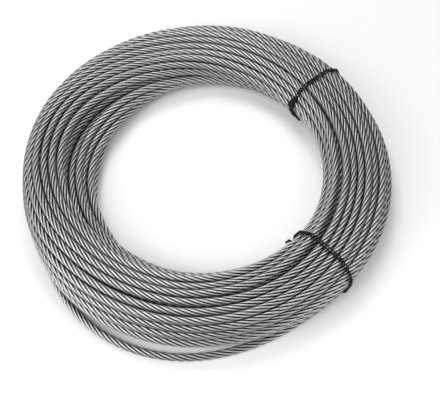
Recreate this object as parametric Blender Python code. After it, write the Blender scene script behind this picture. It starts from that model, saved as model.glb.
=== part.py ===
"""Coil of galvanised steel wire rope, laid flat and held by two twisted wire ties.

The bundle of turns is one turned solid whose ridges are the turns on its outside. One turn
has sprung out of the bundle and lies on the floor beside it. Metres, +Z up; the floor is
z = 0, and the origin is the middle of the floor that the coil covers.
"""
import math

import bmesh
import bpy
from mathutils import Vector

# Rope and bundle
ROPE_DIAMETER = 0.008
TURN_GAP = 0.0003              # between neighbouring turns of the bundle
COIL_BORE = 0.248              # inside diameter, at the innermost turn
WIDEST_ROW_TURNS = 9           # turns side by side at the bundle's middle height
ROWS_BESIDE_WIDEST = 3         # rows above it, and as many below, each a turn shorter

# Wire ties, each a pair of wires twisted together
TIE_WIRE_DIAMETER = 0.0018
TIE_AZIMUTHS = {"tie_wire_rear": 37.5, "tie_wire_front": -43.5}
TAIL_LENGTH = {"tie_wire_rear": 0.020, "tie_wire_front": 0.013}
TAIL_LIFT = {"tie_wire_rear": 0.001, "tie_wire_front": 0.003}   # of the tip, off the bundle
TIE_BEND_RADIUS = 0.003        # of the wire's own bends, where no turn lies inside them
SEAT_GAP = 0.0004              # between a piece and what it lies against

# The turn that stands away from the bundle: (azimuth in degrees, metres out of its nest)
LOOSE_TURN_ROUTE = [
    (204.0, 0.0000), (209.0, 0.0006), (214.0, 0.0030), (220.0, 0.0072), (227.0, 0.0109),
    (234.0, 0.0136), (241.0, 0.0153), (248.0, 0.0160), (255.0, 0.0154), (262.0, 0.0138),
    (269.0, 0.0114), (276.0, 0.0085), (283.0, 0.0056), (290.0, 0.0031), (297.0, 0.0013),
    (303.0, 0.0003), (308.0, 0.0000),
]

# How finely the round shapes are drawn
RING_STEPS = 40                # flat faces round the coil
RIDGE_FLAT = math.radians(40)  # of a turn's round face, drawn as the flat at its middle
RIDGE_EDGE = math.radians(60)  # how far round its side a turn shows before the next one
BEND_STEP = math.radians(20)
LOOSE_POINT_SPACING = 1.5 * ROPE_DIAMETER
LOOSE_BEVEL_RESOLUTION = 3
TIE_BEVEL_RESOLUTION = 2
GROOVE_SIDES = 6              # flat faces of the roof of a tie's channel

# Sizes that follow from the driving dimensions
ROPE_RADIUS = ROPE_DIAMETER / 2
TURN_PITCH = ROPE_DIAMETER + TURN_GAP
ROW_RISE = TURN_PITCH * math.sin(math.radians(60))
TIE_RADIUS = TIE_WIRE_DIAMETER  # a twisted pair is two wires across
TIE_FLOOR_HEIGHT = TIE_RADIUS + SEAT_GAP
MEAN_RADIUS = COIL_BORE / 2 + ROPE_RADIUS + (WIDEST_ROW_TURNS - 1) / 2 * TURN_PITCH
MIDDLE_HEIGHT = ROPE_RADIUS + ROWS_BESIDE_WIDEST * ROW_RISE
END_ROW_TURNS = WIDEST_ROW_TURNS - ROWS_BESIDE_WIDEST
END_ROW_HALF = (END_ROW_TURNS - 1) / 2 * TURN_PITCH
WIDEST_HALF = (WIDEST_ROW_TURNS - 1) / 2 * TURN_PITCH
NEST_RADIUS = MEAN_RADIUS + END_ROW_HALF + TURN_PITCH   # on the floor, against the bundle


def new_object(name, data, material):
    """Links an object that holds this mesh or curve, in one material."""
    data.materials.append(material)
    made = bpy.data.objects.new(name, data)
    bpy.context.scene.collection.objects.link(made)
    return made


def metal(name, colour, metallic, roughness):
    """A Principled material; colour is linear red, green and blue."""
    made = bpy.data.materials.new(name)
    made.use_nodes = True
    shader = made.node_tree.nodes["Principled BSDF"]
    shader.inputs["Base Color"].default_value = (*colour, 1.0)
    shader.inputs["Metallic"].default_value = metallic
    shader.inputs["Roughness"].default_value = roughness
    return made


def boundary_turns():
    """The centres of the turns on the bundle's outside, as (radius, height), counterclockwise
    in the half-plane with the coil's axis at its left, from the innermost turn on the floor."""
    rows = range(-ROWS_BESIDE_WIDEST, ROWS_BESIDE_WIDEST + 1)

    def half_width(row):
        return (WIDEST_ROW_TURNS - 1 - abs(row)) / 2 * TURN_PITCH

    def height(row):
        return MIDDLE_HEIGHT + row * ROW_RISE

    along = [MEAN_RADIUS - END_ROW_HALF + i * TURN_PITCH for i in range(END_ROW_TURNS)]
    floor_row = [(r, height(rows[0])) for r in along]
    outer_side = [(MEAN_RADIUS + half_width(row), height(row)) for row in rows[1:-1]]
    top_row = [(r, height(rows[-1])) for r in reversed(along)]
    inner_side = [(MEAN_RADIUS - half_width(row), height(row)) for row in reversed(rows[1:-1])]
    return floor_row + outer_side + top_row + inner_side


def bundle_outline():
    """The bundle's section as (radius, height): an arc of each turn's round on its outside."""
    turns = boundary_turns()
    outline = []
    for before, here, after in zip(turns[-1:] + turns[:-1], turns, turns[1:] + turns[:1]):
        into = math.atan2(here[1] - before[1], here[0] - before[0])
        out_of = math.atan2(after[1] - here[1], after[0] - here[0])
        first = into - math.pi / 2
        last = first + (out_of - into) % math.tau
        angles = [first - RIDGE_EDGE, first - RIDGE_FLAT / 2, first + RIDGE_FLAT / 2]
        if last - first > RIDGE_FLAT:
            angles += [last - RIDGE_FLAT / 2, last + RIDGE_FLAT / 2]
        for angle in angles + [last + RIDGE_EDGE]:
            outline.append((here[0] + ROPE_RADIUS * math.cos(angle),
                            here[1] + ROPE_RADIUS * math.sin(angle)))
    lowest = min(height for _, height in outline)
    return [(radius, height - lowest) for radius, height in outline]


def turned_solid(outline):
    """A closed ring: the outline spun round the coil's axis."""
    mesh = bmesh.new()
    corners = [mesh.verts.new((radius, 0.0, height)) for radius, height in outline]
    edges = [mesh.edges.new(pair) for pair in zip(corners, corners[1:] + corners[:1])]
    bmesh.ops.spin(mesh, geom=corners + edges, cent=(0, 0, 0), axis=(0, 0, 1),
                   angle=math.tau, steps=RING_STEPS, use_merge=True)
    bmesh.ops.recalc_face_normals(mesh, faces=mesh.faces)
    data = bpy.data.meshes.new("rope_coil")
    mesh.to_mesh(data)
    mesh.free()
    return data


def rounded(corners, radii):
    """Points along a path with straight runs, whose inner corners are rounded to these radii."""
    points = [corners[0]]
    for before, corner, after, radius in zip(corners, corners[1:], corners[2:], radii):
        back = (before - corner).normalized()
        onward = (after - corner).normalized()
        turn = math.pi - back.angle(onward)
        run = radius * math.tan(turn / 2)
        centre = corner + (back + onward).normalized() * radius / math.cos(turn / 2)
        start = corner + back * run - centre
        steps = max(2, math.ceil(turn / BEND_STEP))
        side = onward
        for i in range(steps + 1):
            angle = turn * i / steps
            points.append(centre + start * math.cos(angle)
                          + (side - start * side.dot(start) / start.length_squared).normalized()
                          * start.length * math.sin(angle))
    return points + [corners[-1]]


def tie_route(tail_length, tail_lift):
    """A tie's route as (distance along the rope, radius, height): from the tip of one tail,
    over the bundle, under it and back to the tip of the other tail beside the first."""
    reach = ROPE_RADIUS + SEAT_GAP + TIE_RADIUS
    shoulder = reach * math.tan(math.radians(30))
    top = MIDDLE_HEIGHT + ROWS_BESIDE_WIDEST * ROW_RISE + reach
    side = WIDEST_HALF + reach / math.cos(math.radians(30))
    foot = END_ROW_HALF + reach + SEAT_GAP
    apart = TIE_RADIUS + SEAT_GAP / 2
    waist = MEAN_RADIUS - side + apart * math.tan(math.radians(30))
    tip = waist - tail_lift
    corners = [
        (-tail_length, tip, MIDDLE_HEIGHT + apart),
        (0, waist, MIDDLE_HEIGHT + apart),
        (0, MEAN_RADIUS - END_ROW_HALF - shoulder, top),
        (0, MEAN_RADIUS + END_ROW_HALF + shoulder, top),
        (0, MEAN_RADIUS + side, MIDDLE_HEIGHT),
        (0, MEAN_RADIUS + foot, TIE_FLOOR_HEIGHT),
        (0, MEAN_RADIUS - foot, TIE_FLOOR_HEIGHT),
        (0, waist, MIDDLE_HEIGHT - apart),
        (-tail_length, tip, MIDDLE_HEIGHT - apart),
    ]
    radii = [TIE_BEND_RADIUS, reach, reach, reach, TIE_BEND_RADIUS, TIE_BEND_RADIUS,
             TIE_BEND_RADIUS]
    return rounded([Vector(corner) for corner in corners], radii)


def wrapped(route, azimuth):
    """Bends a tie's route round the coil's axis, so that its tails follow the bore."""
    placed = []
    for along, radius, height in route:
        angle = math.radians(azimuth) + along / (COIL_BORE / 2)
        placed.append((radius * math.cos(angle), radius * math.sin(angle), height))
    return placed


def smooth_reach(azimuth):
    """How far out of its nest the loose turn lies at an azimuth: a smooth curve through
    the route's own points, with the slope at each taken from its neighbours."""
    route = LOOSE_TURN_ROUTE
    last = len(route) - 2
    i = next((k for k in range(last) if azimuth < route[k + 1][0]), last)

    def slope(k):
        low, high = max(k - 1, 0), min(k + 1, len(route) - 1)
        return (route[high][1] - route[low][1]) / (route[high][0] - route[low][0])

    (start, out_start), (end, out_end) = route[i], route[i + 1]
    step = end - start
    t = (azimuth - start) / step
    return (out_start * (1 + 2 * t) * (1 - t) ** 2 + slope(i) * step * t * (1 - t) ** 2
            + out_end * t * t * (3 - 2 * t) + slope(i + 1) * step * t * t * (t - 1))


def loose_turn_points():
    """Points down the middle of the loose turn, on the floor."""
    first, last = LOOSE_TURN_ROUTE[0][0], LOOSE_TURN_ROUTE[-1][0]
    length = NEST_RADIUS * math.radians(last - first)
    steps = math.ceil(length / LOOSE_POINT_SPACING)
    points = []
    for i in range(steps + 1):
        azimuth = first + (last - first) * i / steps
        radius = NEST_RADIUS + smooth_reach(azimuth)
        angle = math.radians(azimuth)
        points.append((radius * math.cos(angle), radius * math.sin(angle), ROPE_RADIUS))
    return points


def tube(name, points, radius, resolution, material):
    """A round tube with closed ends along these points."""
    curve = bpy.data.curves.new(name, "CURVE")
    curve.dimensions = "3D"
    curve.bevel_depth = radius
    curve.bevel_resolution = resolution
    curve.use_fill_caps = True
    spline = curve.splines.new("POLY")
    spline.points.add(len(points) - 1)
    for place, point in zip(spline.points, points):
        place.co = (*point, 1.0)
    return new_object(name, curve, material)


def tie_groove(azimuth):
    """Cuts the channel where the turns on the floor bridge a tie that passes under them: its
    roof follows the tie, and its sides run straight down past the floor."""
    half_length = END_ROW_HALF + ROPE_DIAMETER
    half_width = TIE_RADIUS + SEAT_GAP
    profile = [(half_width, -TIE_FLOOR_HEIGHT)]
    for i in range(GROOVE_SIDES + 1):
        angle = math.pi * i / GROOVE_SIDES
        profile.append((half_width * math.cos(angle),
                        TIE_FLOOR_HEIGHT + half_width * math.sin(angle)))
    profile.append((-half_width, -TIE_FLOOR_HEIGHT))
    mesh = bmesh.new()
    near = [mesh.verts.new((MEAN_RADIUS - half_length, y, z)) for y, z in profile]
    far = [mesh.verts.new((MEAN_RADIUS + half_length, y, z)) for y, z in profile]
    mesh.faces.new(near)
    mesh.faces.new(far[::-1])
    for i in range(len(profile)):
        j = (i + 1) % len(profile)
        mesh.faces.new((near[i], near[j], far[j], far[i]))
    bmesh.ops.recalc_face_normals(mesh, faces=mesh.faces)
    data = bpy.data.meshes.new("tie_groove")
    mesh.to_mesh(data)
    mesh.free()
    cutter = bpy.data.objects.new("tie_groove", data)
    bpy.context.scene.collection.objects.link(cutter)
    cutter.rotation_euler = (0.0, 0.0, math.radians(azimuth))
    cutter.hide_render = True
    cutter.display_type = "WIRE"
    return cutter


def coil_axis_offset():
    """How far the coil's axis lies behind the middle of the floor it covers: half of what the
    loose turn adds to the front."""
    bundle_front = MEAN_RADIUS + WIDEST_HALF + ROPE_RADIUS
    loose_front = max(-y for _, y, _ in loose_turn_points()) + ROPE_RADIUS
    return max(0.0, loose_front - bundle_front) / 2


def main():
    for existing in list(bpy.data.objects):
        bpy.data.objects.remove(existing)
    zinc = metal("galvanised_steel", (0.36, 0.37, 0.38), 0.85, 0.42)
    black = metal("black_annealed_wire", (0.012, 0.012, 0.013), 0.4, 0.5)

    axis = bpy.data.objects.new("coil_axis", None)
    bpy.context.scene.collection.objects.link(axis)
    axis.location = (0.0, coil_axis_offset(), 0.0)

    coil = new_object("rope_coil", turned_solid(bundle_outline()), zinc)
    coil.data.shade_smooth()
    coil.data.set_sharp_from_angle(angle=math.radians(50))
    coil.parent = axis

    loose = tube("loose_turn", loose_turn_points(), ROPE_RADIUS, LOOSE_BEVEL_RESOLUTION, zinc)
    loose.parent = axis

    for name, azimuth in TIE_AZIMUTHS.items():
        route = tie_route(TAIL_LENGTH[name], TAIL_LIFT[name])
        tie = tube(name, wrapped(route, azimuth), TIE_RADIUS, TIE_BEVEL_RESOLUTION, black)
        tie.parent = axis
        groove = tie_groove(azimuth)
        groove.parent = axis
        cut = coil.modifiers.new(f"under_{name}", "BOOLEAN")
        cut.operation = "DIFFERENCE"
        cut.object = groove


main()
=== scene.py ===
"""The coil of wire rope, dressed for its picture.

One length of rope is laid round and round as a real coil lies: its turns roll over each other,
rest on the floor, give way to their neighbours and are drawn together by two wire ties. The
rope and the ties then get their strands and wires. Metres, in the frame of the solid model.
"""
import math

import bpy
import numpy as np
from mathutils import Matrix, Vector


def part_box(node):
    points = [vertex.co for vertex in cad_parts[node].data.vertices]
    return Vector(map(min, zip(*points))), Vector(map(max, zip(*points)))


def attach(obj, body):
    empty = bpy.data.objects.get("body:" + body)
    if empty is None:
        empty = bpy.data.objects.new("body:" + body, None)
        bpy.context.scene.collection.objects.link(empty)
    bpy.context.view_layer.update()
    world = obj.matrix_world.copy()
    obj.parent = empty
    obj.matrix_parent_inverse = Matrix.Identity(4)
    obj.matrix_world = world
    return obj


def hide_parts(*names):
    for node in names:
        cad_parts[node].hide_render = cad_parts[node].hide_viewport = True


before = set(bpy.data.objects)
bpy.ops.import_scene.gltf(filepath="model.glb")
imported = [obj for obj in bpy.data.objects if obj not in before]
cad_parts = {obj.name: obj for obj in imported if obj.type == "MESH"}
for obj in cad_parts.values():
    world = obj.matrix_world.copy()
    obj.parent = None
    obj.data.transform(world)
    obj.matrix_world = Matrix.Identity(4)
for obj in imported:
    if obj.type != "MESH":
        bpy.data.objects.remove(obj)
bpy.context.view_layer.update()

# Sizes that the solid model has too
ROPE_DIAMETER = 0.008
ROPE_RADIUS = ROPE_DIAMETER / 2
TURN_GAP = 0.0003
TURN_PITCH = ROPE_DIAMETER + TURN_GAP
NESTING = math.sin(math.radians(60))     # rise of a row for each pitch, when turns lie in hollows
ROW_RISE = TURN_PITCH * NESTING
COIL_BORE = 0.248
WIDEST_ROW_TURNS = 9
ROWS_BESIDE_WIDEST = 3
WIDEST_HALF = (WIDEST_ROW_TURNS - 1) / 2 * TURN_PITCH
MEAN_RADIUS = COIL_BORE / 2 + ROPE_RADIUS + WIDEST_HALF
MIDDLE_HEIGHT = ROPE_RADIUS + ROWS_BESIDE_WIDEST * ROW_RISE
END_ROW_HALF = (WIDEST_ROW_TURNS - ROWS_BESIDE_WIDEST - 1) / 2 * TURN_PITCH
NEST_RADIUS = MEAN_RADIUS + END_ROW_HALF + TURN_PITCH
TIE_AZIMUTHS = {"tie_wire_rear": 37.5, "tie_wire_front": -43.5}
LOOSE_TURN_ROUTE = [           # azimuth, and how far out of its nest the loose turn lies there
    (204.0, 0.0000), (209.0, 0.0006), (214.0, 0.0030), (220.0, 0.0072), (227.0, 0.0109),
    (234.0, 0.0136), (241.0, 0.0153), (248.0, 0.0160), (255.0, 0.0154), (262.0, 0.0138),
    (269.0, 0.0114), (276.0, 0.0085), (283.0, 0.0056), (290.0, 0.0031), (297.0, 0.0013),
    (303.0, 0.0003), (308.0, 0.0000),
]
COIL_LOW, COIL_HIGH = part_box("rope_coil")
AXIS_Y = (COIL_LOW[1] + COIL_HIGH[1]) / 2

# The rope's own construction: six strands laid right-handed round a core
ROPE_LAY = 0.0545              # along the rope for one turn of a strand
STRANDS = 6
STRAND_RADIUS = ROPE_RADIUS / 3
STRAND_CENTRE = ROPE_RADIUS - STRAND_RADIUS
STRAND_CORNERS = (-1.0, -0.6, 0.0, 0.6)  # of its outline, from its one valley to its other
WIRES_ROUND = 42               # wires of 0.6 mm side by side round the rope, straight along it
WIRE_HEIGHT = 0.00022          # of a wire's back over the grooves beside it
WIRE_RELIEF = 0.32             # how much of that height the light shows
RINGS_PER_STATION = 4          # rings of the mesh for each station, where the rope shows
STRETCH_TRIANGLES = 190000     # the most that one stretch of the rope may have

# How the rope is coiled
STATIONS = 120                 # places round the coil where the turns are worked out
SEAM = -10.0                   # azimuth where the turns are counted from
TURNS = 50
LAYERS = 4
ROPE_STARTS = 130.0            # azimuth on the first turn, low behind the coil
ROPE_ENDS = 275.0              # azimuth on the last turn, inside the coil
ROLL = [                       # azimuth, and how many slots the turns have rolled outwards there
    (0.0, 0.1), (22.0, 0.4), (45.0, 0.95), (68.0, 1.7), (90.0, 2.5), (130.0, 4.2), (165.0, 5.5),
    (182.0, 5.8), (200.0, 5.0), (228.0, 3.2), (250.0, 3.1), (275.0, 3.1), (299.0, 2.4),
    (317.0, 1.6), (340.0, 0.4),
]
BUNDLE_SHIFT = [               # azimuth, and how far out of a true circle the bundle lies there
    (0.0, 0.0044), (30.0, 0.0025), (60.0, 0.0000), (90.0, -0.0012), (130.0, -0.0023),
    (160.0, -0.0065), (185.0, -0.0078), (203.0, -0.0040), (220.0, 0.0006), (240.0, 0.0026),
    (265.0, 0.0006), (290.0, -0.0018), (305.0, -0.0008), (330.0, 0.0026),
]
BUNDLE_SPREAD = [              # azimuth, and how wide the bundle lies there
    (0.0, 0.99), (28.0, 0.94), (48.0, 0.91), (65.0, 0.95), (90.0, 1.04), (110.0, 1.19),
    (140.0, 1.16), (170.0, 1.08), (190.0, 1.02), (207.0, 1.08), (235.0, 1.07), (270.0, 1.06),
    (290.0, 1.04), (310.0, 1.01), (340.0, 1.01),
]
LEAST_SPREAD = 0.97            # a bundle drawn together more than this doesn't rise any more
LAYER_ENDS = (252.0, 342.0)    # azimuths between which a layer's last turn crosses to the next
LOOSE_LEAVES = (204.0, 222.0)  # azimuths between which the loose turn leaves the bundle,
LOOSE_RETURNS = (285.0, 308.0)           # comes back to it,
LOOSE_CLIMBS = (322.0, 349.0)            # and goes on into the turn after it
SETTLING = [                   # how the turns give way to each other, in two phases: the rounds,
    (260, 0.25, 0.03),         # the rope's stiffness, and how hard it is drawn to its plan
    (80, 0.12, 0.01),
]
PUSH = 0.3                     # share of an overlap that each round takes away
TOUCHING = ROPE_DIAMETER * 1.002         # turns nearer than this push each other away
WANDER_SIDEWAYS = 0.35         # the most that a turn strays along its layer, in slots
WANDER_UPWARDS = 0.0014        # and up or down
HELD_SIDEWAYS = 0.9            # share of that which a tie takes away
HELD_UPWARDS = 0.8
TIE_HOLDS = 16.0               # degrees over which a tie holds the turns
TIE_LIFTS = 7.0                # degrees over which the wire below lifts them off the floor
SLUMP_INSIDE = 0.55            # height of the low innermost turns on the left, of the usual
SLUMP_OUTSIDE = 1.28           # and of the turns piled up outside them
SLUMP_GROWS = (118.0, 158.0)   # azimuths between which the slump begins
SLUMP_FADES = (200.0, 238.0)   # and ends
SLUMP_EDGE = -0.45             # where the low turns end, in half widths of the bundle
SLUMP_STEEPNESS = 5
SLUMP_REACH = 1.3              # half widths over which the slump is worked out
GROOVES = [                    # the wide grooves: after which turn, from and to which azimuth,
    (11, -95.0, 95.0, 0.55),   # and how many slots wide on either side
    (6, 75.0, 236.0, 0.55),
    (10, 120.0, 245.0, 0.32),
    (8, 125.0, 230.0, 0.25),
]
GROOVE_OPENS = 35.0            # degrees in which a groove opens
GROOVE_CLOSES = 30.0           # and closes
GROOVE_FADE = 2.0              # turns beside a groove over which they close up again

# What shows of the turns, looked for along lines across the bundle
VIEW_DIRECTIONS = 36
VIEW_OFFSETS = (-0.7, 0.0, 0.7)          # where on a turn the lines start, in its radii
COVER = 1.02                   # how wide a turn hides those behind it, in its radii
AHEAD = 0.002                  # and how far before them it has to lie
SHOWING_MARGIN = 3             # stations beside those that show which are drawn as finely

# The ties: a doubled wire, twisted, with its ends wrapped into a knob and left as a short tail
TIE_WIRE_DIAMETER = 0.0013
TIE_PAIR_WIDTH = 0.0048        # across the two twisted wires
TIE_LAY = 0.0078               # along the tie for one turn of a wire
TIE_PRESSED = 2.6              # how sharply its wires cross; between, they lie side by side
TIE_SKEW = {"tie_wire_rear": 0.6, "tie_wire_front": 1.0}      # degrees, outer end backwards
TIE_CORNER_STEP = 0.2          # radians from point to point where a tie bends round a turn
TIE_STEP = 0.0006              # from point to point along a tie
WIRE_CORNERS = 8
KNOB_STRETCH = {               # where the knob lies, along the tie from the middle of its inside
    "tie_wire_rear": (-0.017, -0.006), "tie_wire_front": (0.003, 0.010),
}
KNOB_STEPS = 14                # points along the knob for each wire width
KNOB_PITCH = 0.92 * TIE_WIRE_DIAMETER    # from one wrap to the next
KNOB_START = 0.8               # the wraps' width at the knob's start, of the pair of wires,
KNOB_SWELL = {"tie_wire_rear": 0.9, "tie_wire_front": 0.45}   # how much it grows towards the end,
KNOB_CLOSES = 0.35             # how much it loses at the very end,
KNOB_CLOSES_AT = 0.85          # and from where on
KNOB_LIFT = 0.5                # of the knob's middle off the tie, in wire widths
KNOB_DEPTH = 1.5               # of the wraps, in wire widths
TAIL_START = 0.001             # along the bundle from the tie
TAIL_LENGTH = {"tie_wire_rear": 0.016, "tie_wire_front": 0.013}
TAIL_HEIGHTS = {               # of its start and tip, over the middle of the tie's inside
    "tie_wire_rear": (0.002, -0.002), "tie_wire_front": (-0.009, -0.001),
}
TAIL_LIFT = {"tie_wire_rear": 0.0, "tie_wire_front": 0.0015}  # of the tip, off the bundle
TAIL_BENDS = (0.3, 0.7)        # shares of its length between which it goes to its tip's height
TAIL_POINTS = 40
TAIL_WIRES = 3
TAIL_LAY = 0.009

# The finishes' colours, and where the rope's dark grease and painted shade end
ZINC_DULL, ZINC_BRIGHT = "#b4b4b4", "#cccccc"
# dark of the rope's grease, also painted as shade in the strands' valleys and between the turns
GREASE_AND_SHADE = "#0c0c0c"
BLACK_SCALE = "#1c1c1d"
WHITE_PAPER = "#f4f4f4"
WHITE_LIGHT = "#ffffff"
SPANGLES = 900.0               # zinc crystals in a metre, each 1.1 mm wide
GREASE_AND_SHADE_IN_VALLEY = (0.16, 0.29)          # strand widths from the valley: all grease and painted shade, and none
SHADE_BETWEEN_TURNS = (0.0003, 0.0018)  # metres from the next turn: most painted shade, and none
ZINC_WHERE_TOUCHING = 0.2     # share of the zinc colour left under the painted shade where the turns touch

# The picture's camera. Places in the picture are in pixels from its upper left corner
PICTURE_WIDTH, PICTURE_HEIGHT = 440, 400
SHOWN_MIDDLE = (205.67, 169.06)          # where the middle of the coil lies in the picture
SHOWN_RADIUS = 148.5           # the coil's mean radius in the picture
REAL_RADIUS = 0.1608           # and in metres
CAMERA_DISTANCE = 5.3          # in those radii
CAMERA_ELEVATION = 58.0        # degrees
MIDDLE_RISE = 0.16             # of the coil's middle off the floor, in those radii
SENSOR_WIDTH = 36.0            # millimetres

# The soft lamps of the studio: name, azimuth and elevation seen from the coil, and watts
LAMP_DISTANCE = 1.4
LAMP_SIZE = 0.8
SKY_LIGHT = 0.02
FLOOR_REACH = 4.0
LAMPS = [
    ("back_lamp", 100.0, 60.0, 9.8), ("left_lamp", 210.0, 32.0, 10.7),
    ("front_left_lamp", 240.0, 60.0, 7.5), ("front_right_lamp", 330.0, 32.0, 5.1),
    ("right_lamp", 0.0, 60.0, 3.0),
]


def ease(value, start, end):
    """0 before start, 1 after end, and a smooth rise between them."""
    t = np.clip((value - start) / (end - start), 0.0, 1.0)
    return t * t * (3 - 2 * t)


def camera():
    """The camera of the picture: it looks down at the coil from the front."""
    elevation = math.radians(CAMERA_ELEVATION)
    distance = CAMERA_DISTANCE * REAL_RADIUS
    back = Vector((0.0, -math.cos(elevation), math.sin(elevation)))
    right = Vector((1.0, 0.0, 0.0))
    up = back.cross(right)
    middle = Vector((0.0, AXIS_Y, MIDDLE_RISE * REAL_RADIUS))
    focal = SHOWN_RADIUS * CAMERA_DISTANCE
    aside = PICTURE_WIDTH / 2 - SHOWN_MIDDLE[0]
    below = PICTURE_HEIGHT / 2 - SHOWN_MIDDLE[1]
    aim = middle + (right * aside - up * below) * distance / focal
    data = bpy.data.cameras.new("camera")
    data.sensor_width = SENSOR_WIDTH
    data.lens = SENSOR_WIDTH * focal / PICTURE_WIDTH
    made = bpy.data.objects.new("camera", data)
    made.location = middle + back * distance
    made.rotation_euler = (aim - made.location).to_track_quat("-Z", "Y").to_euler()
    bpy.context.scene.collection.objects.link(made)
    bpy.context.scene.camera = made


# The coil's turns

def layer_slots(layer):
    """The places of the turns in one layer of the bundle, as (out from the mean radius, height),
    from the floor's outer end inwards and round; layer 0 is the outside."""
    rows = ROWS_BESIDE_WIDEST - layer
    widest = WIDEST_ROW_TURNS - 2 * layer

    def end(row):
        return (widest - 1 - abs(row)) / 2 * TURN_PITCH

    def place(row, out):
        return out, MIDDLE_HEIGHT + row * ROW_RISE

    count = widest - rows
    floor = [place(-rows, end(-rows) - i * TURN_PITCH) for i in range(count)]
    if rows == 0:
        return floor
    inner = [place(row, -end(row)) for row in range(1 - rows, rows)]
    top = [place(rows, i * TURN_PITCH - end(rows)) for i in range(count)]
    outer = [place(row, end(row)) for row in range(rows - 1, -rows, -1)]
    return floor + inner + top + outer


def along_layer(slots, place):
    """Where a place between the slots of a layer lies; place counts slots round the layer."""
    slots = np.array(slots)
    whole = np.floor(place).astype(int)
    part = (place - whole)[..., None]
    return slots[whole % len(slots)] * (1 - part) + slots[(whole + 1) % len(slots)] * part


def loose_reach(azimuth):
    """How far out of its nest the loose turn lies at an azimuth in degrees."""
    route = LOOSE_TURN_ROUTE
    if not route[0][0] < azimuth < route[-1][0]:
        return 0.0
    last = len(route) - 2
    i = next((k for k in range(last) if azimuth < route[k + 1][0]), last)

    def slope(k):
        low, high = max(k - 1, 0), min(k + 1, len(route) - 1)
        return (route[high][1] - route[low][1]) / (route[high][0] - route[low][0])

    (start, out_start), (end, out_end) = route[i], route[i + 1]
    step = end - start
    t = (azimuth - start) / step
    return (out_start * (1 + 2 * t) * (1 - t) ** 2 + slope(i) * step * t * (1 - t) ** 2
            + out_end * t * t * (3 - 2 * t) + slope(i + 1) * step * t * t * (t - 1))


def wander(seed, knots_per_turn, most):
    """A smooth random number, about -most to most, along the whole rope at each turn and
    station."""
    rng = np.random.default_rng(seed)
    count = TURNS * knots_per_turn + 4
    knots = rng.uniform(-1, 1, count)
    at = np.arange(TURNS * STATIONS) / STATIONS * knots_per_turn + 1
    i = at.astype(int)
    t = at - i
    before, start, end, after = knots[i - 1], knots[i], knots[i + 1], knots[i + 2]
    curve = start + 0.5 * t * (end - before + t * (2 * before - 5 * start + 4 * end - after
                                                   + t * (3 * (start - end) + after - before)))
    return most * curve.reshape(TURNS, STATIONS)


def near_ties(azimuth, width):
    """1 at a tie, falling to 0 about twice this width in degrees away from it."""
    tie = np.array(list(TIE_AZIMUTHS.values()))
    off = (azimuth[:, None] - tie[None, :] + 180) % 360 - 180
    return np.exp(-(off / width) ** 2).max(axis=1)


def round_coil(points, azimuth):
    """A value that changes smoothly round the coil, through the points given at azimuths."""
    at, values = np.array(points).T
    around = np.arange(0.0, 360.0)
    raw = np.interp(around, at, values, period=360.0)
    reach = 13
    weights = np.hanning(2 * reach + 1)
    weights /= weights.sum()
    soft = np.convolve(np.concatenate([raw[-reach:], raw, raw[:reach]]), weights, "valid")
    return np.interp(azimuth, around, soft, period=360.0)


def planned_turns(azimuth):
    """Where each turn is meant to lie at each station, as (out from the mean radius, height):
    the turns of a layer follow one another round it, and roll over the top and back."""
    rolled = round_coil(ROLL, azimuth)
    onward = (azimuth - SEAM) / 360
    sideways = wander(3, 5, WANDER_SIDEWAYS)
    places = np.zeros((TURNS, STATIONS, 2))
    layers = [layer_slots(layer) for layer in range(LAYERS)]
    outer_count = len(layers[0])
    turn = 1
    for number, slots in enumerate(layers):
        shift = onward + rolled * len(slots) / outer_count
        for slot in range(len(slots)):
            if turn >= TURNS:
                break
            off = sideways[turn] * (1 - HELD_SIDEWAYS * near_ties(azimuth, TIE_HOLDS))
            if number == 0:
                off = off + wide_grooves(turn, azimuth)
            places[turn] = along_layer(slots, slot + shift + off)
            if slot == len(slots) - 1 and number < LAYERS - 1:
                inward = ease(azimuth, *LAYER_ENDS)[:, None]
                places[turn] += (np.array(layers[number + 1][0]) - places[turn]) * inward
            turn += 1
    slumped(places, azimuth)
    spread = round_coil(BUNDLE_SPREAD, azimuth)
    shift = round_coil(BUNDLE_SHIFT, azimuth)
    rise = np.sqrt(1 - (np.maximum(spread, LEAST_SPREAD) / 2) ** 2) / NESTING
    places[..., 0] = shift + spread * places[..., 0]
    places[..., 1] = ROPE_RADIUS + rise * (places[..., 1] - ROPE_RADIUS)
    reach = np.array([loose_reach(a % 360) for a in azimuth])
    beside = spread * (NEST_RADIUS - MEAN_RADIUS) + shift
    free = ease(azimuth, *LOOSE_LEAVES) * (1 - ease(azimuth, *LOOSE_RETURNS))
    nest = np.stack([beside + (NEST_RADIUS - MEAN_RADIUS - beside) * free + reach,
                     np.full(STATIONS, ROPE_RADIUS)], axis=1)
    inward = ease(azimuth, *LOOSE_CLIMBS)[:, None]
    places[0] = nest + (places[1, :1] - nest) * inward
    return places


def slumped(places, azimuth):
    """Lets the innermost turns on the left lie low and apart, and piles the others up outside
    them, in the same room."""
    share = ease(azimuth, *SLUMP_GROWS) * (1 - ease(azimuth, *SLUMP_FADES))
    across = np.linspace(-SLUMP_REACH, SLUMP_REACH, 105)
    step = (1 + np.tanh((across - SLUMP_EDGE) * SLUMP_STEEPNESS)) / 2
    for station in range(STATIONS):
        height = 1 + share[station] * (SLUMP_INSIDE - 1 + (SLUMP_OUTSIDE - SLUMP_INSIDE) * step)
        moved = np.concatenate([[0.0], np.cumsum(2 / (height[1:] + height[:-1]))])
        inside, outside = np.interp((-1, 1), across, moved)
        moved = (2 * moved - inside - outside) / (outside - inside)
        place = places[:, station, 0] / WIDEST_HALF
        places[:, station, 0] = WIDEST_HALF * np.interp(place, across, moved)
        places[:, station, 1] = ROPE_RADIUS + (places[:, station, 1] - ROPE_RADIUS) * np.interp(
            place, across, height)


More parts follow.
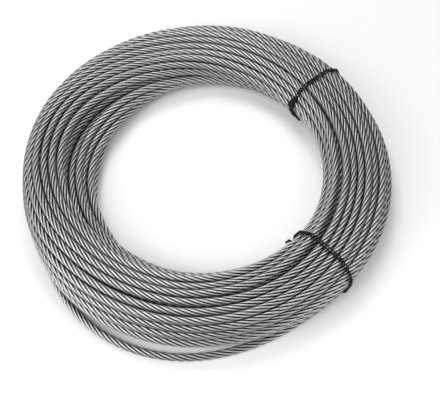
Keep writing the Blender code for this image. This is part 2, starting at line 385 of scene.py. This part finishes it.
def wide_grooves(turn, azimuth):
    """The turns on either side of each of the wide grooves stand apart. A groove that crosses
    the seam runs on after the turn before."""
    off = np.zeros(len(azimuth))
    for after, start, end, width in GROOVES:
        for before_seam in (0, 1):
            beside = turn - (after - before_seam) - 0.5
            at = azimuth - 360.0 * before_seam
            opened = ease(at, start, start + GROOVE_OPENS)
            opened = opened * (1 - ease(at, end - GROOVE_CLOSES, end))
            side = math.copysign(1, beside)
            off += width * side * math.exp(-abs(beside) / GROOVE_FADE) * opened
    return off


def settled_turns(azimuth):
    """The turns after they have given way to each other, to the floor and to the ties."""
    plan = planned_turns(azimuth)
    rise = wander(11, 4, WANDER_UPWARDS)
    plan[..., 1] += rise * (1 - HELD_UPWARDS * near_ties(azimuth, TIE_HOLDS))
    plan[0, :, 1] = ROPE_RADIUS
    floor = ROPE_RADIUS + 2 * TIE_WIRE_DIAMETER * near_ties(azimuth, TIE_LIFTS)
    fixed = np.zeros((TURNS, STATIONS), bool)
    fixed[0] = azimuth < LOOSE_CLIMBS[0]
    present = np.ones((TURNS, STATIONS), bool)
    present[0] = azimuth >= ROPE_STARTS
    present[-1] = azimuth <= ROPE_ENDS
    turns = plan.copy()
    both = present[:, None] & present[None, :] & ~np.eye(TURNS, dtype=bool)[..., None]
    for rounds, stiffness, pull in SETTLING:
        for _ in range(rounds):
            gap = turns[:, None] - turns[None, :]
            apart = np.sqrt((gap ** 2).sum(-1)) + 1e-9
            overlap = np.where(both, np.clip(TOUCHING - apart, 0, None), 0)
            push = (gap * (overlap / apart)[..., None]).sum(1) * PUSH
            line = turns.reshape(-1, 2)
            straight = np.zeros_like(line)
            for step in (1, 2, 4):
                near = line[step:-3 * step] + line[3 * step:-step]
                far = line[:-4 * step] + line[4 * step:]
                straight[2 * step:-2 * step] += (4 * near - far) / 6 - line[2 * step:-2 * step]
            moved = turns + push + stiffness * straight.reshape(turns.shape)
            moved += pull * (plan - turns)
            moved[..., 1] = np.maximum(moved[..., 1], floor)
            turns = np.where(fixed[..., None], plan, moved)
    return turns, present


def showing(turns, present):
    """Which stations of which turns can be seen past the others, from any side: each is looked
    at along lines through its middle and on either side of it."""
    seen = np.zeros((TURNS, STATIONS), bool)
    gap = turns[None, :] - turns[:, None]
    for i in range(VIEW_DIRECTIONS):
        angle = i / VIEW_DIRECTIONS * math.tau
        way = np.array([math.cos(angle), math.sin(angle)])
        ahead = (gap @ way > AHEAD) & present[None, :]
        beside = gap[..., 0] * way[1] - gap[..., 1] * way[0]
        for offset in VIEW_OFFSETS:
            blocks = ahead & (np.abs(beside - offset * ROPE_RADIUS) < COVER * ROPE_RADIUS)
            seen |= ~blocks.any(1)
    seen = seen.reshape(-1)
    wide = seen.copy()
    for step in range(1, SHOWING_MARGIN + 1):
        wide[step:] |= seen[:-step]
        wide[:-step] |= seen[step:]
    return wide


# Meshes

def smooth_between(points, at):
    """Points on a smooth curve through the given ones, at places counted in points."""
    i = np.clip(np.floor(at).astype(int), 0, len(points) - 2)
    t = (at - i)[:, None]
    before = points[np.maximum(i - 1, 0)]
    start, end = points[i], points[i + 1]
    after = points[np.minimum(i + 2, len(points) - 1)]
    return start + 0.5 * t * (end - before + t * (2 * before - 5 * start + 4 * end - after
                                                  + t * (3 * (start - end) + after - before)))


def lengths_along(points):
    """The length along a path up to each of its points."""
    steps = np.linalg.norm(np.diff(points, axis=0), axis=1)
    return np.concatenate([[0.0], np.cumsum(steps)])


def ways_across(points):
    """Two directions square to a path at each of its points; the second is the level one."""
    along = np.gradient(points, axis=0)
    along /= np.linalg.norm(along, axis=1)[:, None]
    level = np.cross(along, (0.0, 0.0, 1.0))
    level /= np.linalg.norm(level, axis=1)[:, None]
    return np.cross(level, along), level


def tube_mesh(name, rings, uvs_along, material, crease_every=0, room=None):
    """A closed tube: rings is (rings, corners, 3). Corners are numbered round each ring, and
    those at every crease_every-th are sharp valleys along the tube. Room is each corner's
    distance to the turns beside it, which its finish asks for."""
    count, corners = rings.shape[:2]
    ring = np.arange(count - 1)[:, None]
    corner = np.arange(corners)[None, :]
    after = (corner + 1) % corners
    quads = np.stack([ring * corners + corner, ring * corners + after,
                      (ring + 1) * corners + after, (ring + 1) * corners + corner], axis=-1)
    quads = quads.reshape(-1, 4)
    ends = [list(range(corners))[::-1], list(range((count - 1) * corners, count * corners))]
    mesh = bpy.data.meshes.new(name)
    mesh.vertices.add(count * corners)
    mesh.vertices.foreach_set("co", rings.reshape(-1))
    loops = np.concatenate([quads.reshape(-1), *map(np.array, ends)])
    mesh.loops.add(len(loops))
    mesh.loops.foreach_set("vertex_index", loops)
    starts = np.concatenate([np.arange(len(quads)) * 4, [len(quads) * 4],
                             [len(quads) * 4 + corners]])
    mesh.polygons.add(len(starts))
    mesh.polygons.foreach_set("loop_start", starts)
    mesh.update(calc_edges=True)
    mesh.polygons.foreach_set("use_smooth", np.arange(len(starts)) < len(quads))
    layer = mesh.uv_layers.new(name="along_and_round")
    round_at = np.stack([corner / corners, (corner + 1) / corners, (corner + 1) / corners,
                         corner / corners], axis=-1)
    round_at = np.broadcast_to(round_at, (count - 1, corners, 4))
    along_at = np.stack([uvs_along[:-1], uvs_along[:-1], uvs_along[1:], uvs_along[1:]], axis=-1)
    along_at = np.broadcast_to(along_at[:, None, :], (count - 1, corners, 4))
    uv = np.zeros((len(loops), 2))
    uv[:len(quads) * 4, 0] = along_at.reshape(-1)
    uv[:len(quads) * 4, 1] = round_at.reshape(-1)
    layer.data.foreach_set("uv", uv.reshape(-1))
    if crease_every:
        pairs = np.zeros(len(mesh.edges) * 2, int)
        mesh.edges.foreach_get("vertices", pairs)
        pairs = pairs.reshape(-1, 2)
        valley = (pairs % corners % crease_every == 0).all(1)
        valley &= (pairs[:, 0] % corners) == (pairs[:, 1] % corners)
        sharp = mesh.attributes.new("sharp_edge", "BOOLEAN", "EDGE")
        sharp.data.foreach_set("value", valley)
    # the finish paints shade between the turns by this distance
    if room is not None:
        beside = mesh.attributes.new("room_beside", "FLOAT", "POINT")
        beside.data.foreach_set("value", room.reshape(-1))
    mesh.materials.append(material)
    made = bpy.data.objects.new(name, mesh)
    bpy.context.scene.collection.objects.link(made)
    return made


def strand_outline():
    """The rope's outline in one strand, from valley to valley, as (angle, radius): the first
    corner is in the valley."""
    half = math.pi / STRANDS
    corners = []
    for share in STRAND_CORNERS:
        angle = share * half
        inner = max(STRAND_RADIUS ** 2 - (STRAND_CENTRE * math.sin(angle)) ** 2, 0.0)
        corners.append((angle, STRAND_CENTRE * math.cos(angle) + math.sqrt(inner)))
    return corners


def rope_rings(centres, lengths):
    """The rings of a laid rope's surface round these centres, and how far out and up of its
    centre each of their corners lies."""
    up, level = ways_across(centres)
    outline = strand_outline()
    angles = np.array([strand / STRANDS * math.tau + angle
                       for strand in range(STRANDS) for angle, _ in outline])
    radii = np.array([radius for _ in range(STRANDS) for _, radius in outline])
    turned = angles[None, :] + (lengths / ROPE_LAY * math.tau)[:, None]
    off = np.stack([radii * np.sin(turned), radii * np.cos(turned)], axis=-1)
    rings = centres[:, None, :] + level[:, None, :] * off[..., :1] + up[:, None, :] * off[..., 1:]
    return rings, off


def room_beside(places, corners, turns, present):
    """The distance from each corner of each ring to the nearest other turn."""
    line, there = turns.reshape(-1, 2), present.reshape(-1)
    room = np.zeros(corners.shape[:2])
    batch = 1000
    far_off = 1.0
    for start in range(0, len(places), batch):
        part = slice(start, start + batch)
        own = (places[part] // STATIONS).astype(int)
        station = places[part] % STATIONS
        before = np.arange(TURNS)[None, :] * STATIONS + station.astype(int)[:, None]
        after = np.minimum(before + 1, len(line) - 1)
        share = (station % 1)[:, None, None]
        others = line[before] * (1 - share) + line[after] * share
        counted = there[before] & (np.arange(TURNS)[None, :] != own[:, None])
        apart = np.linalg.norm(corners[part][:, :, None] - others[:, None], axis=-1)
        room[part] = np.where(counted[:, None], apart, far_off).min(axis=2) - ROPE_RADIUS
    return room


def lay_rope(material):
    """Makes the rope, in stretches that follow one another along it. Where it is hidden it has
    one ring for each station. Returns where the turns lie and which stations they reach."""
    azimuth = SEAM + np.arange(STATIONS) / STATIONS * 360
    turns, present = settled_turns(azimuth)
    seen = showing(turns, present)
    line = turns.reshape(-1, 2)
    first = int(np.argmax(present.reshape(-1)))
    last = len(line) - 1 - int(np.argmax(present.reshape(-1)[::-1]))
    fine = RINGS_PER_STATION
    places = []
    for station in range(first, last):
        parts = fine if seen[station] or seen[station + 1] else 1
        places += [station + i / parts for i in range(parts)]
    places = np.array(places + [last])
    flat = smooth_between(line, places)
    angle = np.radians(SEAM + places / STATIONS * 360)
    radius = MEAN_RADIUS + flat[:, 0]
    centres = np.stack([radius * np.cos(angle), radius * np.sin(angle) + AXIS_Y, flat[:, 1]],
                       axis=1)
    lengths = lengths_along(centres)
    rings, off = rope_rings(centres, lengths)
    room = room_beside(places, flat[:, None, :] + off, turns, present)
    per_stretch = STRETCH_TRIANGLES // (2 * rings.shape[1])
    stretches = math.ceil((len(places) - 1) / per_stretch)
    cuts = np.linspace(0, len(places) - 1, stretches + 1).astype(int)
    for number in range(stretches):
        part = slice(cuts[number], cuts[number + 1] + 1)
        made = tube_mesh(f"rope_stretch_{number + 1}", rings[part], lengths[part] / ROPE_LAY,
                         material, crease_every=len(STRAND_CORNERS), room=room[part])
        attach(made, "root")
        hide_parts("rope_coil", *(["loose_turn"] if number == 0 else []))
    return turns, present


# Ties

def hull_of(points):
    """The corners of the tightest loop round some points in a plane, counterclockwise."""
    points = sorted(map(tuple, points))
    halves = []
    for ordered in (points, points[::-1]):
        half = []
        for point in ordered:
            while len(half) > 1 and ((half[-1][0] - half[-2][0]) * (point[1] - half[-2][1])
                                     - (half[-1][1] - half[-2][1]) * (point[0] - half[-2][0])) <= 0:
                half.pop()
            half.append(point)
        halves += half[:-1]
    return halves


def loop_round(points, reach):
    """A loop drawn tight round turns at these centres, this far from them, in even steps. It
    starts and ends at the middle of its inner side."""
    corners = hull_of(points)
    loop = []
    for before, here, after in zip(corners[-1:] + corners[:-1], corners, corners[1:] + corners[:1]):
        first = math.atan2(here[1] - before[1], here[0] - before[0]) - math.pi / 2
        last = math.atan2(after[1] - here[1], after[0] - here[0]) - math.pi / 2
        sweep = (last - first) % math.tau
        steps = max(1, round(sweep / TIE_CORNER_STEP))
        for i in range(steps + 1):
            angle = first + sweep * i / steps
            loop.append((here[0] + reach * math.cos(angle), here[1] + reach * math.sin(angle)))
    inner = min(range(len(loop)), key=lambda i: loop[i][0])
    loop = np.array(loop[inner:] + loop[:inner + 1])
    lengths = lengths_along(loop)
    even = np.arange(0, lengths[-1], TIE_STEP)
    return np.stack([np.interp(even, lengths, loop[:, 0]), np.interp(even, lengths, loop[:, 1])],
                    axis=1)


def wire_rings(centres, radius):
    """Rings of a round wire; the directions across it are carried along without twisting."""
    along = np.gradient(centres, axis=0)
    along /= np.linalg.norm(along, axis=1)[:, None]
    across = np.cross(along[0], (0.3, 0.2, 0.9))     # any direction but the wire's own
    rings = np.zeros((len(centres), WIRE_CORNERS, 3))
    for i, way in enumerate(along):
        across = across - way * across.dot(way)
        across /= np.linalg.norm(across)
        other = np.cross(way, across)
        for corner in range(WIRE_CORNERS):
            angle = corner / WIRE_CORNERS * math.tau
            rings[i, corner] = centres[i] + radius * (across * math.cos(angle)
                                                      + other * math.sin(angle))
    return rings


def wire(name, line, material):
    """One tie wire along a line of points."""
    return tube_mesh(name, wire_rings(line, TIE_WIRE_DIAMETER / 2),
                     lengths_along(line) / TIE_LAY, material)


def twisted(name, count, centres, across, outward, half_width, half_height, lay, material,
            pressed=0.0):
    """This many wires twisted round each other along a line: their middles go half_width to
    either side of it, and half_height in and out of it. Pressed ones lie side by side for
    longer, and cross in a shorter stretch."""
    turned = lengths_along(centres) / lay * math.tau
    made = []
    for number in range(count):
        angle = turned + number / count * math.tau
        sway = np.cos(angle)
        if pressed:
            sway = np.tanh(pressed * sway) / math.tanh(pressed)
        line = (centres + across * (half_width * sway)[:, None]
                + outward * (half_height * np.sin(angle))[:, None])
        made.append(wire(f"{name}_{number}", line, material))
    return made


def join(name, objects):
    """One object of several."""
    with bpy.context.temp_override(active_object=objects[0], selected_editable_objects=objects,
                                   selected_objects=objects, object=objects[0]):
        bpy.ops.object.join()
    objects[0].name = name
    return objects[0]


def knob_line(name, centres, onward, outward):
    """The line of the wire's end, which is wrapped round the tie on its inner side."""
    lengths = lengths_along(centres)
    start, end = KNOB_STRETCH[name]
    wanted = np.arange(start, end, TIE_WIRE_DIAMETER / KNOB_STEPS)
    middle, beside, above = [
        np.stack([np.interp(wanted, lengths, values[:, i], period=lengths[-1])
                  for i in range(3)], axis=1)
        for values in (centres, onward, outward)]
    t = (wanted - start) / (end - start)
    turned = (wanted - start) / KNOB_PITCH * math.tau
    swell = KNOB_START + KNOB_SWELL[name] * t - KNOB_CLOSES * ease(t, KNOB_CLOSES_AT, 1.0)
    width = swell * np.cos(turned) * TIE_PAIR_WIDTH / 2
    depth = swell * np.sin(turned) * KNOB_DEPTH * TIE_WIRE_DIAMETER
    return (middle + above * KNOB_LIFT * TIE_WIRE_DIAMETER + beside * width[:, None]
            + above * depth[:, None])


def tie(name, azimuth, turns, present, material):
    """One tie: a doubled wire twisted round the bundle. On the inner side its ends are wrapped
    round it, and what is left of them lies along the bundle."""
    at = (azimuth - SEAM) % 360 / 360 * STATIONS
    low = int(at)
    share = at - low
    points = turns[:, low] * (1 - share) + turns[:, (low + 1) % STATIONS] * share
    loop = loop_round(points[present[:, low]], ROPE_RADIUS + TIE_WIRE_DIAMETER)
    loop[:, 1] = np.maximum(loop[:, 1], TIE_WIRE_DIAMETER)
    middle = (loop[:, 0].max() + loop[:, 0].min()) / 2
    half = (loop[:, 0].max() - loop[:, 0].min()) / 2

    def placed(azimuths, outs, heights):
        angle = np.radians(azimuths)
        radius = MEAN_RADIUS + outs
        return np.stack([radius * np.cos(angle), radius * np.sin(angle) + AXIS_Y, heights], axis=1)

    skew = azimuth - TIE_SKEW[name] * (loop[:, 0] - middle) / half
    centres = placed(skew, loop[:, 0], loop[:, 1])
    along = np.gradient(centres, axis=0)
    along /= np.linalg.norm(along, axis=1)[:, None]
    angle = np.radians(skew)
    onward = np.stack([-np.sin(angle), np.cos(angle), np.zeros(len(angle))], axis=1)
    outward = np.cross(onward, along)
    outward *= np.sign(outward[0] @ np.array([-math.cos(angle[0]), -math.sin(angle[0]), 0.0]))
    made = twisted(name, 2, centres, onward, outward, (TIE_PAIR_WIDTH - TIE_WIRE_DIAMETER) / 2,
                   TIE_WIRE_DIAMETER / 2, TIE_LAY, material, pressed=TIE_PRESSED)
    made.append(wire(name + "_knob", knob_line(name, centres, onward, outward), material))

    t = np.linspace(0.0, 1.0, TAIL_POINTS)
    inner = loop[:, 0] < middle
    order = np.argsort(loop[inner, 1])
    first, last = TAIL_HEIGHTS[name]
    heights = loop[0, 1] + first + (last - first) * ease(t, *TAIL_BENDS)
    flank = np.interp(heights, loop[inner, 1][order], loop[inner, 0][order])
    outs = flank - TIE_WIRE_DIAMETER / 2 - TAIL_LIFT[name] * t ** 1.5
    reach = TAIL_START + t * TAIL_LENGTH[name]
    tail = placed(skew[0] - np.degrees(reach / (MEAN_RADIUS + outs)), outs, heights)
    up, level = ways_across(tail)
    spread = TIE_WIRE_DIAMETER / 2 / math.sin(math.pi / TAIL_WIRES)
    made += twisted(name + "_tail", TAIL_WIRES, tail, up, level, spread, spread, TAIL_LAY, material)
    made = join(name + "_wires", made)
    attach(made, "root")
    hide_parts(name)


# Finishes

def linear(colour):
    """An sRGB hex colour as linear red, green, blue and alpha."""
    parts = [int(colour[i:i + 2], 16) / 255 for i in (1, 3, 5)]
    return (*[p / 12.92 if p <= 0.04045 else ((p + 0.055) / 1.055) ** 2.4 for p in parts], 1.0)


def add(tree, kind, settings=None, links=None):
    """Adds a node; settings name its own properties or its inputs, links its inputs."""
    made = tree.nodes.new(kind)
    for name, value in (settings or {}).items():
        if isinstance(name, str) and hasattr(made, name):
            setattr(made, name, value)
        else:
            made.inputs[name].default_value = value
    for name, source in (links or {}).items():
        tree.links.new(source, made.inputs[name])
    return made


def new_finish(name):
    """A new material, its node tree and its surface shader."""
    made = bpy.data.materials.new(name)
    made.use_nodes = True
    return made, made.node_tree, made.node_tree.nodes["Principled BSDF"]


def zinc_coated_steel_wire():
    """Drawn steel wire with a hot-dip zinc coat, laid into strands: a grey metal with streaks of
    light along each strand. Its colour is darkened to grease and painted shade in the strands'
    valleys, and to painted shade between the turns."""
    made, tree, shader = new_finish("zinc_coated_steel_wire")
    shader.inputs["Metallic"].default_value = 1.0
    seat = add(tree, "ShaderNodeUVMap", {"uv_map": "along_and_round"})
    split = add(tree, "ShaderNodeSeparateXYZ", links={0: seat.outputs[0]})
    strand = add(tree, "ShaderNodeMath", {"operation": "MULTIPLY", 1: float(STRANDS)},
                 {0: split.outputs["Y"]})
    across = add(tree, "ShaderNodeMath", {"operation": "PINGPONG", 1: 0.5},
                 {0: strand.outputs[0]})
    # crown: 0 in a strand's valley, where the colour is grease and painted shade, and 1 on its
    # crown
    crown = add(tree, "ShaderNodeMapRange",
                {"interpolation_type": "SMOOTHSTEP", "From Min": GREASE_AND_SHADE_IN_VALLEY[0],
                 "From Max": GREASE_AND_SHADE_IN_VALLEY[1]},
                {"Value": across.outputs[0]})
    # painted shade between the turns: darker the nearer the next turn lies
    beside = add(tree, "ShaderNodeAttribute", {"attribute_name": "room_beside"})
    unshaded_between_turns = add(tree, "ShaderNodeMapRange",
                {"interpolation_type": "SMOOTHSTEP", "From Min": SHADE_BETWEEN_TURNS[0],
                 "From Max": SHADE_BETWEEN_TURNS[1], "To Min": ZINC_WHERE_TOUCHING},
                {"Value": beside.outputs["Fac"]})
    zinc_share = add(tree, "ShaderNodeMath", {"operation": "MULTIPLY"},
                {0: crown.outputs[0], 1: unshaded_between_turns.outputs[0]})
    straight = add(tree, "ShaderNodeMath", {"operation": "ADD"},
                   {0: split.outputs["X"], 1: split.outputs["Y"]})
    wires = add(tree, "ShaderNodeMath", {"operation": "MULTIPLY", 1: WIRES_ROUND * math.pi},
                {0: straight.outputs[0]})
    wave = add(tree, "ShaderNodeMath", {"operation": "SINE"}, {0: wires.outputs[0]})
    bow = add(tree, "ShaderNodeMath", {"operation": "ABSOLUTE"}, {0: wave.outputs[0]})
    relief = add(tree, "ShaderNodeBump", {"Strength": WIRE_RELIEF, "Distance": WIRE_HEIGHT},
                 {"Height": bow.outputs[0]})
    tree.links.new(relief.outputs[0], shader.inputs["Normal"])
    place = add(tree, "ShaderNodeTexCoord")
    spangle = add(tree, "ShaderNodeTexNoise", {"Scale": SPANGLES, "Detail": 2.0},
                  {"Vector": place.outputs["Object"]})
    zinc = add(tree, "ShaderNodeMix", {"data_type": "RGBA", 6: linear(ZINC_DULL),
                                       7: linear(ZINC_BRIGHT)},
               {0: spangle.outputs[0]})
    # the zinc darkened towards the grease and shade colour: painted shade in the valleys and
    # between the turns
    colour = add(tree, "ShaderNodeMix", {"data_type": "RGBA", 6: linear(GREASE_AND_SHADE)},
                 {0: zinc_share.outputs[0], 7: zinc.outputs[2]})
    tree.links.new(colour.outputs[2], shader.inputs["Base Color"])
    rough = add(tree, "ShaderNodeMapRange", {"To Min": 0.5, "To Max": 0.4},
                {"Value": crown.outputs[0]})
    tree.links.new(rough.outputs[0], shader.inputs["Roughness"])
    return made


def black_annealed_iron_wire():
    """Soft iron wire, annealed in a fire: dull black scale, with little shine."""
    made, _, shader = new_finish("black_annealed_iron_wire")
    shader.inputs["Metallic"].default_value = 0.6
    shader.inputs["Roughness"].default_value = 0.55
    shader.inputs["Base Color"].default_value = linear(BLACK_SCALE)
    return made


def studio():
    """A floor of plain white paper, which is dull and bright, and soft lights."""
    mesh = bpy.data.meshes.new("floor")
    corners = [(-1, -1), (1, -1), (1, 1), (-1, 1)]
    mesh.from_pydata([(x * FLOOR_REACH, y * FLOOR_REACH, 0.0) for x, y in corners], [],
                     [(0, 1, 2, 3)])
    floor = bpy.data.objects.new("floor", mesh)
    bpy.context.scene.collection.objects.link(floor)
    finish, _, shader = new_finish("white_paper")
    shader.inputs["Base Color"].default_value = linear(WHITE_PAPER)
    shader.inputs["Roughness"].default_value = 0.9
    shader.inputs["Specular IOR Level"].default_value = 0.1
    mesh.materials.append(finish)
    world = bpy.data.worlds.new("studio")
    world.use_nodes = True
    world.node_tree.nodes["Background"].inputs["Color"].default_value = linear(WHITE_LIGHT)
    world.node_tree.nodes["Background"].inputs["Strength"].default_value = SKY_LIGHT
    bpy.context.scene.world = world
    for name, azimuth, elevation, power in LAMPS:
        data = bpy.data.lights.new(name, "AREA")
        data.shape = "SQUARE"
        data.size = LAMP_SIZE
        data.energy = power
        lamp = bpy.data.objects.new(name, data)
        around, above = math.radians(azimuth), math.radians(elevation)
        lamp.location = LAMP_DISTANCE * Vector((math.cos(above) * math.cos(around),
                                                math.cos(above) * math.sin(around),
                                                math.sin(above)))
        lamp.rotation_euler = (-lamp.location).to_track_quat("-Z", "Y").to_euler()
        bpy.context.scene.collection.objects.link(lamp)
    bpy.context.scene.view_settings.view_transform = "Standard"


camera()
zinc = zinc_coated_steel_wire()
turns, present = lay_rope(zinc)
black = black_annealed_iron_wire()
for tie_name, tie_azimuth in TIE_AZIMUTHS.items():
    tie(tie_name, tie_azimuth, turns, present, black)
studio()
